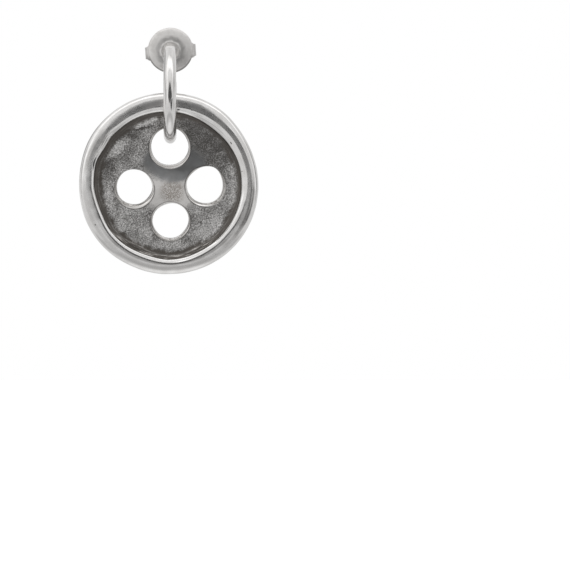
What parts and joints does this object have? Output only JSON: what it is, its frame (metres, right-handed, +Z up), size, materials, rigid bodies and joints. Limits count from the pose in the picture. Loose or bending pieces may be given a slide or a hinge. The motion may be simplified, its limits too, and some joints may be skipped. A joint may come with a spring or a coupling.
{
  "type": "dangle earring",
  "caption": "Pierced-ear earring: an open hoop with an ear post, a push-on ear nut, and a round button-shaped drop with holes that hangs on the hoop.",
  "frame": {"origin": "on the axis of the ear post, in the gap between the hoop and the nut where the ear lobe sits", "axes": "+Z up, -Y to the front that the drop shows, +Y back along the post"},
  "size_m": [0.0366, 0.0223, 0.0497],
  "materials": {
    "polished_silver": "tumbled and polished silver plate with fine scratches",
    "satin_sheet": "satin pressed sheet",
    "antiqued_silver": "cast silver plate, bright rubbed rim and dark grainy sunken face"
  },
  "bodies": {
    "root": {"ear_hoop": "polished_silver"},
    "nut": {"ear_nut": "satin_sheet"},
    "drop": {"button_drop": "antiqued_silver"}
  },
  "joints": [
    {"name": "nut_slide", "type": "slide", "parent": "root", "child": "nut", "axis": [0, 1, 0], "range_m": [-0.0018, 0.0078]},
    {"name": "drop_swing", "type": "hinge", "parent": "root", "child": "drop", "pos_m": [0, -0.00277, -0.01744], "axis": [0, 0.9925, 0.1219], "range_deg": [-75, 75]}
  ]
}
